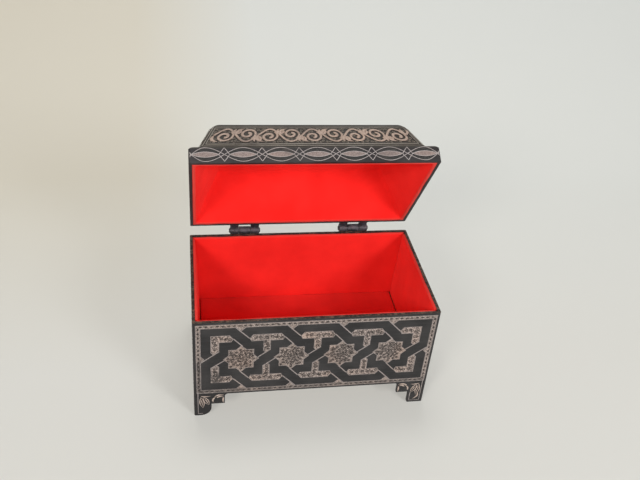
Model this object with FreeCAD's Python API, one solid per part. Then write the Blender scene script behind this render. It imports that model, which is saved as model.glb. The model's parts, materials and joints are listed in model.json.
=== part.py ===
# Footed casket with strapwork inlay: a mitred case on bracket feet, a coved hipped lid on two butt hinges,
# felt linings, and metal inlay let flush into the boards. Millimetres, +X right, +Y back, +Z up.
# The origin is the middle of the footprint, on the table. The lid stands open, as it is displayed.
import FreeCAD
import Part
import math
import os

from FreeCAD import Vector

# Case
case_width = 180.0
case_depth = 106.8
case_height = 93.3
board = 2.2
corner_round = 1.2

# Bracket feet, cut in the lower edge of each case board
apron_height = 22.0
toe_width = 13.0
toe_height = 12.0
step_width = 23.0
apron_round = 2.5
toe_round = 1.2
worn_toe_round = 8.0
foot_block = 6.5

# Floor and linings
floor_level = 30.0
floor_board = 3.0
cleat_width = 4.0
lining = 2.0
lining_foot = 4.6
lining_drop = 0.4
lining_gap = 0.2

# Strapwork inlay
inlay_depth = 0.6
rim_margin = 2.1
side_margin = 2.0
apron_margin = 1.4
border_width = 3.6
strap_width = 6.9
bar_width = 6.6
bar_point = 3.0
stem_width = 5.4
leg_width = 6.2
star_gap = 3.65
star_pitch = 37.0
star_to_end = 28.9
end_gap_top = 8.3
end_gap_point = 5.7
end_gap_low = 7.1
stem_end_right = 8.2
stem_end_point = 5.0
stem_end_left = 7.3
stem_point_in = 1.9
tooth_left = 4.0
tooth_right = 3.2
tooth_height = 3.6
side_tooth_low = 2.2
side_tooth_high = 4.0
side_tooth_reach = 2.6
line_width = 0.8
tip_bite = 1.0

# Lid
lid_open_angle = 58.0
lid_gap = 0.3
lid_inset = 0.6
band_height = 11.5
nose_height = 0.3
nose_inset = 3.2
nose_rise = 2.7
nose_crown_inset = 1.0
nose_crown_rise = 1.6
bend_inset = 8.4
bend_rise = 9.1
bend_hollow = 0.75
shoulder_inset = 15.2
shoulder_rise = 25.1
shoulder_crown = 0.25
cove_inset = 17.6
cove_height = 28.3
cove_hollow = 2.0
cove_board = 2.8
top_board = 2.2
top_corner_round = 1.5
top_edge_round = 1.4
lid_lining_top = 3.4
lid_lining_belly = 0.6
lens_length = 17.5
lens_height = 5.2
lens_rise = 6.8
lens_pitch = 26.1
lens_to_end = 11.0

# Hinges
hinge_spacing = 91.0
hinge_length = 23.5
hinge_setback = 6.8
hinge_drop = 1.2
barrel_radius = 3.3
leaf = 1.2
lid_leaf_height = 9.6
case_leaf_height = 11.7
leaf_corner_round = 2.0
middle_knuckle = 9.2
knuckle_gap = 0.35
pin_radius = 1.2
pin_clearance = 0.05
pin_head_radius = 2.3
pin_head_crown = 1.5
pin_head = 0.9
pin_end_play = 0.1
nail_width = 1.2
nail_head_width = 2.8
nail_head_crown = 1.0
nail_head = 0.6
nail_bite = 1.5
nail_spacing = 13.0
nail_clearance = 0.05
lid_nail_rise = 5.8

# Worked out from the sizes above
floor_underside = floor_level - lining - floor_board
floor_top = floor_level - lining
lid_width = case_width - 2 * lid_inset
lid_depth = case_depth - 2 * lid_inset
lid_base = case_height + lid_gap
cove_base = lid_base + band_height
top_base = cove_base + cove_height
axis_y = case_depth / 2 + hinge_setback
axis_z = case_height - hinge_drop

# Each side faces -Y as it is made, then turns about Z into its place
case_sides = {
    "front": (0, case_width, case_depth / 2),
    "right": (90, case_depth, case_width / 2),
    "back": (180, case_width, case_depth / 2),
    "left": (270, case_depth, case_width / 2),
}
lid_sides = {
    "front": (0, lid_width, lid_depth / 2),
    "right": (90, lid_depth, lid_width / 2),
    "back": (180, lid_width, lid_depth / 2),
    "left": (270, lid_depth, lid_width / 2),
}
hinge_centres = {"left": -hinge_spacing / 2, "right": hinge_spacing / 2}
touching = 1e-6


# Plane shapes

def rounded_wire(corners):
    # a closed wire in the XZ plane through (x, z, radius) corners, with an arc where the radius isn't zero
    points = [Vector(corner[0], 0, corner[1]) for corner in corners]
    starts, ends, edges = [], [], []
    for i, corner in enumerate(corners):
        radius = corner[2]
        back = (points[i - 1] - points[i]).normalize()
        ahead = (points[(i + 1) % len(points)] - points[i]).normalize()
        if radius == 0:
            starts.append(points[i])
            ends.append(points[i])
            continue
        half = back.getAngle(ahead) / 2
        middle = (back + ahead).normalize()
        start = points[i] + back * (radius / math.tan(half))
        end = points[i] + ahead * (radius / math.tan(half))
        crown = points[i] + middle * (radius / math.sin(half) - radius)
        edges.append(Part.Arc(start, crown, end).toShape())
        starts.append(start)
        ends.append(end)
    for i, end in enumerate(ends):
        start = starts[(i + 1) % len(starts)]
        if start.distanceToPoint(end) > touching:
            edges.append(Part.LineSegment(end, start).toShape())
    return Part.Wire(Part.__sortEdges__(edges))


def polygon(points):
    return Part.Face(rounded_wire([(x, z, 0) for x, z in points]))


def half_turn(points):
    return [(-x, -z) for x, z in points]


def strip(start, end, width):
    length = math.hypot(end[0] - start[0], end[1] - start[1])
    across_x = (start[1] - end[1]) / length * width / 2
    across_z = (end[0] - start[0]) / length * width / 2
    return polygon([
        (start[0] + across_x, start[1] + across_z),
        (start[0] - across_x, start[1] - across_z),
        (end[0] - across_x, end[1] - across_z),
        (end[0] + across_x, end[1] + across_z),
    ])


def star(x, tip):
    # two squares of one size, one of them turned an eighth of a turn
    notch = tip / math.sqrt(2) / math.cos(math.pi / 8)
    points = []
    for i in range(16):
        radius = notch if i % 2 else tip
        angle = i * math.pi / 8
        points.append((x + radius * math.cos(angle), radius * math.sin(angle)))
    return polygon(points)


def lens(x, z):
    left = Vector(x - lens_length / 2, 0, z)
    right = Vector(x + lens_length / 2, 0, z)
    upper = Part.Arc(left, Vector(x, 0, z + lens_height / 2), right).toShape()
    lower = Part.Arc(right, Vector(x, 0, z - lens_height / 2), left).toShape()
    return Part.Face(Part.Wire([upper, lower]))


# Placing

def to_side(shape, turn, reach):
    placed = shape.copy()
    placed.translate(Vector(0, -reach, 0))
    placed.rotate(Vector(0, 0, 0), Vector(0, 0, 1), turn)
    return placed


def mitred(shape, width, depth):
    # keeps what lies between the two corner mitres, under softly rounded outer corners
    half = width / 2
    on_mitre = corner_round * (1 - math.cos(math.pi / 4))
    on_arc_in = corner_round * (1 - math.sin(math.pi / 8))
    on_arc_out = corner_round * (1 - math.cos(math.pi / 8))
    edges = [
        Part.Arc(Vector(on_mitre - half, on_mitre, 0), Vector(on_arc_in - half, on_arc_out, 0),
                 Vector(corner_round - half, 0, 0)).toShape(),
        Part.LineSegment(Vector(corner_round - half, 0, 0), Vector(half - corner_round, 0, 0)).toShape(),
        Part.Arc(Vector(half - corner_round, 0, 0), Vector(half - on_arc_in, on_arc_out, 0),
                 Vector(half - on_mitre, on_mitre, 0)).toShape(),
        Part.LineSegment(Vector(half - on_mitre, on_mitre, 0), Vector(half - depth, depth, 0)).toShape(),
        Part.LineSegment(Vector(half - depth, depth, 0), Vector(depth - half, depth, 0)).toShape(),
        Part.LineSegment(Vector(depth - half, depth, 0), Vector(on_mitre - half, on_mitre, 0)).toShape(),
    ]
    keep = Part.Face(Part.Wire(edges)).extrude(Vector(0, 0, 2 * case_height))
    return shape.common(keep).Solids[0]


def along_x(section, width):
    # a board of one (depth, height) section, as long as its side
    face = section.copy()
    face.translate(Vector(-width / 2, 0, 0))
    return face.extrude(Vector(width, 0, 0))


def let_in(faces):
    return [face.extrude(Vector(0, inlay_depth, 0)) for face in faces]


def raised(faces, height):
    for face in faces:
        face.translate(Vector(0, 0, height))
    return faces


# Strapwork: dark bands between stars, tees and corner pieces, drawn out by fine lines

def bar_right_end(star_x, top, low):
    return [(star_x - end_gap_top, top), (star_x - end_gap_point, low + bar_point),
            (star_x - end_gap_low, low)]


def bar_left_end(star_x, top, low):
    return [(star_x + end_gap_low, low), (star_x + end_gap_point, low + bar_point),
            (star_x + end_gap_top, top)]


def stem_end(left, right):
    return [(right, stem_end_right), (left + stem_point_in, stem_end_point), (left, stem_end_left)]


def strapwork(half_length, half_height):
    run = 2 * (half_length - star_to_end)
    count = max(2, round(run / star_pitch) + 1)
    pitch = run / (count - 1)
    star_xs = [(i - (count - 1) / 2) * pitch for i in range(count)]
    top = half_height - strap_width
    low = top - bar_width
    corner = half_length - strap_width
    star_tip = low - star_gap
    right_tip = (star_tip - tip_bite, tip_bite)

    bars = [
        [(-corner, top)] + bar_right_end(star_xs[0], top, low)
        + [(leg_width - corner, low)] + stem_end(-corner, leg_width - corner),
        [(corner, top)] + stem_end(corner - leg_width, corner)
        + [(corner - leg_width, low)] + bar_left_end(star_xs[-1], top, low),
    ]
    teeth = [[(-half_length, -side_tooth_low), (side_tooth_reach - half_length, tip_bite),
              (-half_length, side_tooth_high), (-half_length - border_width / 2, tip_bite)]]
    lines = [
        ((leg_width - corner, stem_end_right), (-half_length, -side_tooth_low)),
        ((corner, stem_end_right), (star_xs[-1] + right_tip[0], right_tip[1])),
    ]
    for x in star_xs:
        lines.append(((x - tooth_left, half_height), (x + end_gap_point, low + bar_point)))
        lines.append(((x - end_gap_point, low + bar_point), (x + tip_bite, star_tip - tip_bite)))
        teeth.append([(x - tooth_left, half_height), (x - tooth_left, half_height + border_width / 2),
                      (x + tooth_right, half_height + border_width / 2), (x + tooth_right, half_height),
                      ((2 * x + tooth_right - tooth_left) / 2, half_height - tooth_height)])
    for left_x, right_x in zip(star_xs, star_xs[1:]):
        stem_left = (left_x + right_x - stem_width) / 2
        stem_right = stem_left + stem_width
        bars.append(bar_right_end(right_x, top, low) + [(stem_right, low)] + stem_end(stem_left, stem_right)
                    + [(stem_left, low)] + bar_left_end(left_x, top, low))
        lines.append(((stem_right, stem_end_right), (left_x + right_tip[0], right_tip[1])))

    # the lower half is the upper half turned half round
    star_faces = [star(x, star_tip) for x in star_xs]
    bar_faces = [polygon(points) for points in bars]
    bar_faces += [polygon(half_turn(points)) for points in bars]
    outer_length = half_length + border_width
    outer_height = half_height + border_width
    ring = polygon([(-outer_length, -outer_height), (outer_length, -outer_height),
                    (outer_length, outer_height), (-outer_length, outer_height)])
    ring = ring.cut(polygon([(-half_length, -half_height), (half_length, -half_height),
                             (half_length, half_height), (-half_length, half_height)]))
    tooth_faces = [polygon(points) for points in teeth]
    tooth_faces += [polygon(half_turn(points)) for points in teeth]
    border_faces = ring.Faces + tooth_faces
    line_faces = []
    for start, end in lines:
        for ends in ((start, end), half_turn((start, end))):
            line_faces += strip(ends[0], ends[1], line_width).cut(star_faces + bar_faces + border_faces).Faces
    line_faces = [face for face in line_faces if face.Area > line_width ** 2]
    return {"stars": star_faces, "bars": bar_faces, "border": border_faces, "strap_lines": line_faces}


# Case

def bracket_outline(width, left_toe_round):
    half = width / 2
    right = [
        (half - step_width, apron_height, apron_round),
        (half - step_width, toe_height, 0),
        (half - toe_width, toe_height, 0),
        (half - toe_width, 0, toe_round),
        (half, 0, 0),
    ]
    left = [(-x, z, radius) for x, z, radius in reversed(right)]
    left[1] = (left[1][0], left[1][1], left_toe_round)
    return left + right + [(half, case_height, 0), (-half, case_height, 0)]


def case_board_and_inlay(side, width):
    half_length = width / 2 - side_margin - border_width
    bottom = apron_height + apron_margin + border_width
    top = case_height - rim_margin - border_width
    pattern = strapwork(half_length, (top - bottom) / 2)
    worn = worn_toe_round if side == "front" else toe_round
    panel = Part.Face(rounded_wire(bracket_outline(width, worn))).extrude(Vector(0, board, 0))
    panel = mitred(panel, width, board)
    pieces = {}
    for name, faces in pattern.items():
        pieces[name] = let_in(raised(faces, (top + bottom) / 2))
    ring, *teeth = pieces["border"]
    pieces["border"] = ring.fuse(teeth).removeSplitter().Solids
    panel = panel.cut([solid for solids in pieces.values() for solid in solids])
    return panel, pieces


def case_lining(width, foot):
    depth = board + lining
    section = Part.Face(Part.makePolygon([
        Vector(0, board, floor_top), Vector(0, board + foot, floor_top),
        Vector(0, depth, case_height - lining_drop), Vector(0, board, case_height - lining_drop),
        Vector(0, board, floor_top),
    ]))
    return along_x(section, width)


def foot_block_at(side_x, side_y):
    x = case_width / 2 - board
    y = case_depth / 2 - board
    points = [Vector(x, y, 0), Vector(x - foot_block, y, 0), Vector(x - foot_block, y - foot_block / 2, 0),
              Vector(x - foot_block / 2, y - foot_block, 0), Vector(x, y - foot_block, 0)]
    points = [Vector(p.x * side_x, p.y * side_y, 0) for p in points]
    return Part.Face(Part.makePolygon(points + points[:1])).extrude(Vector(0, 0, floor_underside))


def floor_cleats():
    solids = []
    for turn, width, reach in case_sides.values():
        length = width - 2 * (board + foot_block)
        cleat = Part.makeBox(length, cleat_width, floor_underside - apron_height,
                             Vector(-length / 2, board, apron_height))
        solids.append(to_side(cleat, turn, reach))
    return solids


# Lid, made shut

def cove_arcs():
    # centre and radius of the sweep that the cove's inner face runs beside, in (depth, height) above the band
    start = Vector(0, nose_inset, nose_rise)
    end = Vector(0, cove_inset, cove_height)
    chord = end - start
    radius = chord.Length ** 2 / (8 * cove_hollow) + cove_hollow / 2
    inward = Vector(0, chord.z, -chord.y).normalize()
    centre = (start + end) / 2 - inward * (radius - cove_hollow)
    return centre, radius


def arc_point(centre, radius, height):
    return Vector(0, centre.y + math.sqrt(radius ** 2 - (height - centre.z) ** 2), height)


def arc_between(centre, radius, low, high):
    return Part.Arc(arc_point(centre, radius, low), arc_point(centre, radius, (low + high) / 2),
                    arc_point(centre, radius, high)).toShape()


def line(start, end):
    return Part.LineSegment(start, end).toShape()


def sagged(start, end, sag):
    # an arc whose middle stands in from its chord, or out from it where the sag is negative
    chord = end - start
    inward = Vector(0, chord.z, -chord.y).normalize()
    return Part.Arc(start, (start + end) / 2 + inward * sag, end).toShape()


def cove_section():
    centre, radius = cove_arcs()
    inner = radius + cove_board
    foot = Vector(0, 0, 0)
    nose = Vector(0, 0, nose_height)
    crown = Vector(0, nose_crown_inset, nose_crown_rise)
    start = Vector(0, nose_inset, nose_rise)
    bend = Vector(0, bend_inset, bend_rise)
    shoulder = Vector(0, shoulder_inset, shoulder_rise)
    top = Vector(0, cove_inset, cove_height)
    return Part.Face(Part.Wire([
        line(foot, nose),
        Part.Arc(nose, crown, start).toShape(),
        sagged(start, bend, bend_hollow),
        line(bend, shoulder),
        sagged(shoulder, top, -shoulder_crown),
        line(top, arc_point(centre, inner, cove_height)),
        arc_between(centre, inner, 0, cove_height),
        line(arc_point(centre, inner, 0), foot),
    ]))


def lid_lining_section():
    # stands on the rim inside the band, then lies up against the cove
    centre, radius = cove_arcs()
    inner = radius + cove_board + lining_gap
    ceiling = cove_height - lining
    rim_out = Vector(0, board, -band_height)
    rim_in = Vector(0, board + lining, -band_height)
    shoulder = Vector(0, board, 0)
    top_out = arc_point(centre, inner, ceiling)
    top_in = top_out + Vector(0, lid_lining_top, 0)
    belly = (rim_in + top_in) / 2 - Vector(0, lid_lining_belly, 0)
    return Part.Face(Part.Wire([
        line(rim_out, shoulder),
        line(shoulder, arc_point(centre, inner, 0)),
        arc_between(centre, inner, 0, ceiling),
        line(top_out, top_in),
        Part.Arc(top_in, belly, rim_in).toShape(),
        line(rim_in, rim_out),
    ]))


def lid_board(section, width, height):
    section.translate(Vector(0, 0, height))
    return mitred(along_x(section, width), width, cove_inset + cove_height)


def lid_band_and_lenses(side, width):
    band = Part.makeBox(width, board, band_height, Vector(-width / 2, 0, lid_base))
    band = mitred(band, width, board)
    run = width - 2 * lens_to_end
    count = round(run / lens_pitch) + 1
    faces = []
    for i in range(count):
        x = run * (i / (count - 1) - 0.5)
        under_hinge = any(abs(x - centre) < hinge_length / 2 for centre in hinge_centres.values())
        if side != "back" or not under_hinge:
            faces.append(lens(x, lid_base + lens_rise))
    lenses = let_in(faces)
    return band.cut(lenses), lenses


def flat_board(inset, thickness, base, corner, edge):
    half_x = lid_width / 2 - inset
    half_y = lid_depth / 2 - inset
    slab = Part.makeBox(2 * half_x, 2 * half_y, thickness, Vector(-half_x, -half_y, base))
    if corner:
        slab = slab.makeFillet(corner, [e for e in slab.Edges if e.BoundBox.ZLength > thickness / 2])
    if edge:
        top = base + thickness
        slab = slab.makeFillet(edge, [e for e in slab.Edges if e.BoundBox.ZMin > top - touching])
    return slab


def opened(shape):
    turned = shape.copy()
    turned.rotate(Vector(0, axis_y, axis_z), Vector(-1, 0, 0), lid_open_angle)
    return turned


# Hinges, made shut

def knuckle(left, right):
    start = Vector(left, axis_y, axis_z)
    tube = Part.makeCylinder(barrel_radius, right - left, start, Vector(1, 0, 0))
    bore = Part.makeCylinder(pin_radius + pin_clearance, right - left, start, Vector(1, 0, 0))
    return tube, bore


def hinge_leaf(centre, spans, face_y, arm_base, knuckle_end, free_end):
    # a plate nailed to the wood, with arms that stand back and roll into knuckles round the pin
    half = hinge_length / 2
    outline = [(centre - half, knuckle_end, 0), (centre + half, knuckle_end, 0),
               (centre + half, free_end, leaf_corner_round), (centre - half, free_end, leaf_corner_round)]
    solid = Part.Face(rounded_wire(outline)).extrude(Vector(0, leaf, 0))
    solid.translate(Vector(0, face_y, 0))
    bores = []
    for left, right in spans:
        arm = Part.makeBox(right - left, axis_y - face_y, leaf, Vector(left, face_y, arm_base))
        tube, bore = knuckle(left, right)
        solid = solid.fuse([arm, tube])
        bores.append(bore)
    return solid.cut(bores).removeSplitter().Solids[0]


def middle_span(centre):
    return [(centre - middle_knuckle / 2, centre + middle_knuckle / 2)]


def outer_spans(centre):
    near = middle_knuckle / 2 + knuckle_gap
    far = hinge_length / 2
    return [(centre - far, centre - near), (centre + near, centre + far)]


def hinge_pin(centre):
    # a plain shank with a head hammered over each end
    length = hinge_length + 2 * pin_end_play
    start = Vector(centre - length / 2, axis_y, axis_z)
    end = Vector(centre + length / 2, axis_y, axis_z)
    shank = Part.makeCylinder(pin_radius, length, start, Vector(1, 0, 0))
    heads = [Part.makeCone(pin_head_radius, pin_head_crown, pin_head, start, Vector(-1, 0, 0)),
             Part.makeCone(pin_head_radius, pin_head_crown, pin_head, end, Vector(1, 0, 0))]
    return shank.fuse(heads).removeSplitter().Solids[0]


def nail_places(height):
    return [(centre + offset, height) for centre in hinge_centres.values()
            for offset in (-nail_spacing / 2, nail_spacing / 2)]


def nail_shank(x, z, face_y, width, bite):
    # forged square, in from the leaf's outer face
    half = width / 2
    square = polygon([(x - half, z - half), (x + half, z - half), (x + half, z + half), (x - half, z + half)])
    square.translate(Vector(0, face_y + leaf, 0))
    return square.extrude(Vector(0, -leaf - bite, 0))


def nail(x, z, face_y):
    # the facetted head bears on the leaf, and the shank bites into the wood
    half = nail_head_width / 2
    crown = nail_head_crown / 2
    seat = face_y + leaf
    head = Part.makeWedge(x - half, seat, z - half, z - crown, x - crown,
                          x + half, seat + nail_head, z + half, z + crown, x + crown)
    return nail_shank(x, z, face_y, nail_width, nail_bite).fuse(head).removeSplitter().Solids[0]


def nail_hole(x, z, face_y):
    return nail_shank(x, z, face_y, nail_width + 2 * nail_clearance, nail_bite + nail_clearance)


# The assembly

def build_case():
    nodes = {}
    nail_z = axis_z - barrel_radius - case_leaf_height / 2
    holes = [nail_hole(x, z, case_depth / 2) for x, z in nail_places(nail_z)]
    for side, (turn, width, reach) in case_sides.items():
        panel, pieces = case_board_and_inlay(side, width)
        panel = to_side(panel, turn, reach)
        nodes[side + "_panel"] = panel.cut(holes) if side == "back" else panel
        for name, solids in pieces.items():
            placed = [to_side(solid, turn, reach) for solid in solids]
            nodes[side + "_" + name] = Part.makeCompound(placed)
        along = side in ("front", "back")
        inner = width - 2 * board if along else width - 2 * (board + lining)
        nodes[side + "_lining"] = to_side(case_lining(inner, lining if along else lining_foot), turn, reach)
    for front_back, side_y in (("front", -1), ("back", 1)):
        for left_right, side_x in (("left", -1), ("right", 1)):
            nodes[front_back + "_" + left_right + "_foot_block"] = foot_block_at(side_x, side_y)
    floor_x = case_width / 2 - board
    floor_y = case_depth / 2 - board
    nodes["floor_board"] = Part.makeBox(2 * floor_x, 2 * floor_y, floor_board,
                                        Vector(-floor_x, -floor_y, floor_underside))
    nodes["floor_cleats"] = Part.makeCompound(floor_cleats())
    felt_x = floor_x - lining_foot - lining_gap
    felt_y = floor_y - lining
    nodes["floor_lining"] = Part.makeBox(2 * felt_x, 2 * felt_y, lining, Vector(-felt_x, -felt_y, floor_top))
    arm_base = axis_z - barrel_radius
    for name, centre in hinge_centres.items():
        plate = hinge_leaf(centre, middle_span(centre), case_depth / 2, arm_base,
                           arm_base + leaf, arm_base + leaf - case_leaf_height)
        nodes[name + "_hinge_case_leaf"] = plate.cut(holes)
        nodes[name + "_hinge_pin"] = hinge_pin(centre)
    nails = [nail(x, z, case_depth / 2) for x, z in nail_places(nail_z)]
    nodes["case_hinge_nails"] = Part.makeCompound(nails)
    return nodes


def build_lid():
    nodes = {}
    arm_base = axis_z + barrel_radius - leaf
    nail_z = arm_base + lid_nail_rise
    holes = [nail_hole(x, z, lid_depth / 2) for x, z in nail_places(nail_z)]
    for side, (turn, width, reach) in lid_sides.items():
        band, lenses = lid_band_and_lenses(side, width)
        band = to_side(band, turn, reach)
        nodes["lid_" + side + "_band"] = band.cut(holes) if side == "back" else band
        nodes["lid_" + side + "_lenses"] = Part.makeCompound([to_side(s, turn, reach) for s in lenses])
        cove = lid_board(cove_section(), width, cove_base)
        nodes["lid_" + side + "_cove"] = to_side(cove, turn, reach)
        felt = lid_board(lid_lining_section(), width, cove_base)
        nodes["lid_" + side + "_lining"] = to_side(felt, turn, reach)
    nodes["lid_top_panel"] = flat_board(cove_inset, top_board, top_base, top_corner_round, top_edge_round)
    centre, radius = cove_arcs()
    felt_inset = arc_point(centre, radius + cove_board, cove_height).y + lining_gap
    nodes["lid_top_lining"] = flat_board(felt_inset, lining, top_base - lining, 0, 0)
    for name, hinge_x in hinge_centres.items():
        plate = hinge_leaf(hinge_x, outer_spans(hinge_x), lid_depth / 2, arm_base, arm_base,
                           arm_base + lid_leaf_height)
        nodes[name + "_hinge_lid_leaf"] = plate.cut(holes)
    nodes["lid_hinge_nails"] = Part.makeCompound([nail(x, z, lid_depth / 2) for x, z in nail_places(nail_z)])
    return {name: opened(shape) for name, shape in nodes.items()}


os.makedirs("parts", exist_ok=True)
for node, shape in {**build_case(), **build_lid()}.items():
    shape.exportStep("parts/" + node + ".step")
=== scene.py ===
import bpy
import bmesh
import json
import math
import random
from bisect import bisect_right
from mathutils import Matrix, Vector, kdtree, noise


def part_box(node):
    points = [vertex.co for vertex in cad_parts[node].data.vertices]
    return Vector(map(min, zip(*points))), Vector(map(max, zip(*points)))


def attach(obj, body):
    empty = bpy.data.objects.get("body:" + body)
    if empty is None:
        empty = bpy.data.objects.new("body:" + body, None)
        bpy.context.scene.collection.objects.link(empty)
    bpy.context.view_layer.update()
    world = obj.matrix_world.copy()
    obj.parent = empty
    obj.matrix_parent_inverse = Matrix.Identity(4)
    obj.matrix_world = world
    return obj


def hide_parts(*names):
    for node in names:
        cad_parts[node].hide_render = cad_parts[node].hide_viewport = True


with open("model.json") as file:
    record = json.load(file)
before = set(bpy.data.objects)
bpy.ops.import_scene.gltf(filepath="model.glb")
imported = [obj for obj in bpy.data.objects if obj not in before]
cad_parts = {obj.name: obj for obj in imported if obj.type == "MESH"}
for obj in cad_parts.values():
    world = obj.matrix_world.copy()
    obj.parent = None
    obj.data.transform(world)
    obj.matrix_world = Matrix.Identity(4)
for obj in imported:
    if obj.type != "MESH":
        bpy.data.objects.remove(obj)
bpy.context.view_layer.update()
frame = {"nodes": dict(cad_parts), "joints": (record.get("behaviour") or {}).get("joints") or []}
nodes = frame["nodes"]
mm = 0.001
strokeWeld, nodeWeld, flush = 1e-7, 1e-6, 2e-5  # in metres: what counts as one point, and as level
sideTurn = {"front": 0, "right": 90, "back": 180, "left": 270}

# The lid's turn from shut to the open rest pose, read from the hinge
hinge = frame["joints"][0]
hingeAt = Matrix.Translation(Vector(hinge["pos_m"]))
openAngle = math.radians(-hinge["range_deg"][0])
openTurn = hingeAt @ Matrix.Rotation(openAngle, 4, Vector(hinge["axis"])) @ hingeAt.inverted()
shutTurn = openTurn.inverted()


# Places on the box

def shutBox(node):  # a lid node's box with the lid shut
    points = [shutTurn @ v.co for v in nodes[node].data.vertices]
    return [Vector([pick(p[i] for p in points) for i in range(3)]) for pick in (min, max)]


def sideFacts(side, boxOf, front, right):  # how far out a side stands, and its width
    frontBox, rightBox = boxOf(front), boxOf(right)
    if side in ("front", "back"):
        return -frontBox[0].y, frontBox[1].x - frontBox[0].x
    return rightBox[1].x, rightBox[1].y - rightBox[0].y


def sideMatrix(side, reach):
    return Matrix.Rotation(math.radians(sideTurn[side]), 4, "Z") @ Matrix.Translation((0, -reach, 0))


caseFacts = {side: sideFacts(side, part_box, "front_panel", "right_panel") for side in sideTurn}
lidFacts = {side: sideFacts(side, shutBox, "lid_front_band", "lid_right_band") for side in sideTurn}
caseSide = {side: sideMatrix(side, caseFacts[side][0]) for side in sideTurn}
lidSide = {side: openTurn @ sideMatrix(side, lidFacts[side][0]) for side in sideTurn}
bandLow, bandHigh = (corner.z for corner in shutBox("lid_front_band"))
topHigh = shutBox("lid_top_panel")[1].z
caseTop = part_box("front_panel")[1].z

coveShape = dict(  # (inset, rise) in mm where the lid's hollow side changes, as in the frame
    nose=(3.2, 2.7), bend=(8.4, 9.1), shoulder=(15.2, 25.1), top=(17.6, 28.3),
    hollow=0.75, crown=-0.25, steps=10,
)


def coveCurve():  # points up the cove's outer face, and the length up to each
    marks = [Vector(coveShape[name]) for name in ("nose", "bend", "shoulder", "top")]
    points = [marks[0]]
    for start, end, sag in zip(marks, marks[1:], (coveShape["hollow"], 0, coveShape["crown"])):
        inward = Vector((end.y - start.y, start.x - end.x)).normalized()
        for i in range(1, coveShape["steps"] + 1):
            t = i / coveShape["steps"]
            points.append(start.lerp(end, t) + inward * sag * 4 * t * (1 - t))  # sag is the depth half way
    lengths = [0.0]
    for low, high in zip(points, points[1:]):
        lengths.append(lengths[-1] + (high - low).length)
    return points, lengths


covePoints, coveLengths = coveCurve()
coveLength = coveLengths[-1]


def coveAt(v):  # the place v mm up the cove, and the way out of the wood there
    i = min(max(bisect_right(coveLengths, v) - 1, 0), len(covePoints) - 2)
    low, high = covePoints[i], covePoints[i + 1]
    along = (high - low).normalized()
    return low + along * (v - coveLengths[i]), Vector((-along.y, along.x))


def coveInset(v):
    return coveAt(v)[0].x


def onCase(side):
    return lambda u, v, h: caseSide[side] @ (Vector((u, -h, v)) * mm)


def onBand(side):
    return lambda u, v, h: lidSide[side] @ (Vector((u, -h, v)) * mm + Vector((0, 0, bandLow)))


def onCove(side):
    def place(u, v, h):
        point, out = coveAt(v)
        point = point + out * h
        return lidSide[side] @ (Vector((u, point.x, point.y)) * mm + Vector((0, 0, bandHigh)))
    return place


def onTop():
    return lambda u, v, h: openTurn @ (Vector((u, v, h)) * mm + Vector((0, 0, topHigh)))


# Materials

def srgb(red, green, blue):
    def linear(c):
        c /= 255
        return c / 12.92 if c <= 0.04045 else ((c + 0.055) / 1.055) ** 2.4
    return (linear(red), linear(green), linear(blue), 1)


def startMaterial(name, roughness, metallic=0.0, specular=0.5):
    made = bpy.data.materials.new(name)
    made.use_nodes = True
    shader = made.node_tree.nodes["Principled BSDF"]
    shader.inputs["Roughness"].default_value = roughness
    shader.inputs["Metallic"].default_value = metallic
    shader.inputs["Specular IOR Level"].default_value = specular
    return made, made.node_tree, shader


def objectCoords(tree, stretch=(1, 1, 1)):
    coords = tree.nodes.new("ShaderNodeTexCoord")
    mapping = tree.nodes.new("ShaderNodeMapping")
    mapping.inputs["Scale"].default_value = stretch
    tree.links.new(coords.outputs["Object"], mapping.inputs["Vector"])
    return mapping.outputs["Vector"]


def grain(tree, vector, scale, detail=3.0, roughness=0.5, distortion=0.0):
    node = tree.nodes.new("ShaderNodeTexNoise")
    settings = dict(Scale=scale, Detail=detail, Roughness=roughness, Distortion=distortion)
    for socket, value in settings.items():
        node.inputs[socket].default_value = value
    tree.links.new(vector, node.inputs["Vector"])
    return node.outputs["Fac"]


def cells(tree, vector, scale):
    node = tree.nodes.new("ShaderNodeTexVoronoi")
    node.inputs["Scale"].default_value = scale
    tree.links.new(vector, node.inputs["Vector"])
    return node.outputs["Distance"]


def ramp(tree, factor, *stops):  # stops are (place, value) or (place, colour)
    node = tree.nodes.new("ShaderNodeValToRGB")
    node.color_ramp.elements.remove(node.color_ramp.elements[1])
    for i, (place, tone) in enumerate(stops):
        stop = node.color_ramp.elements[0] if i == 0 else node.color_ramp.elements.new(place)
        stop.position = place
        stop.color = srgb(*tone) if hasattr(tone, "__len__") else (tone, tone, tone, 1)
    tree.links.new(factor, node.inputs["Fac"])
    return node.outputs["Color"]


def blendColours(tree, factor, first, second):  # a colour is a socket or a plain tone
    node = tree.nodes.new("ShaderNodeMix")
    node.data_type = "RGBA"
    tree.links.new(factor, node.inputs[0])
    for socket, tone in ((node.inputs[6], first), (node.inputs[7], second)):
        if hasattr(tone, "is_linked"):
            tree.links.new(tone, socket)
        else:
            socket.default_value = srgb(*tone)
    return node.outputs[2]


def above(tree, level):  # 1 above a height, 0 below it
    split = tree.nodes.new("ShaderNodeSeparateXYZ")
    step = tree.nodes.new("ShaderNodeMath")
    step.operation = "GREATER_THAN"
    step.inputs[1].default_value = level
    tree.links.new(objectCoords(tree), split.inputs["Vector"])
    tree.links.new(split.outputs["Z"], step.inputs[0])
    return step.outputs["Value"]


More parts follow.
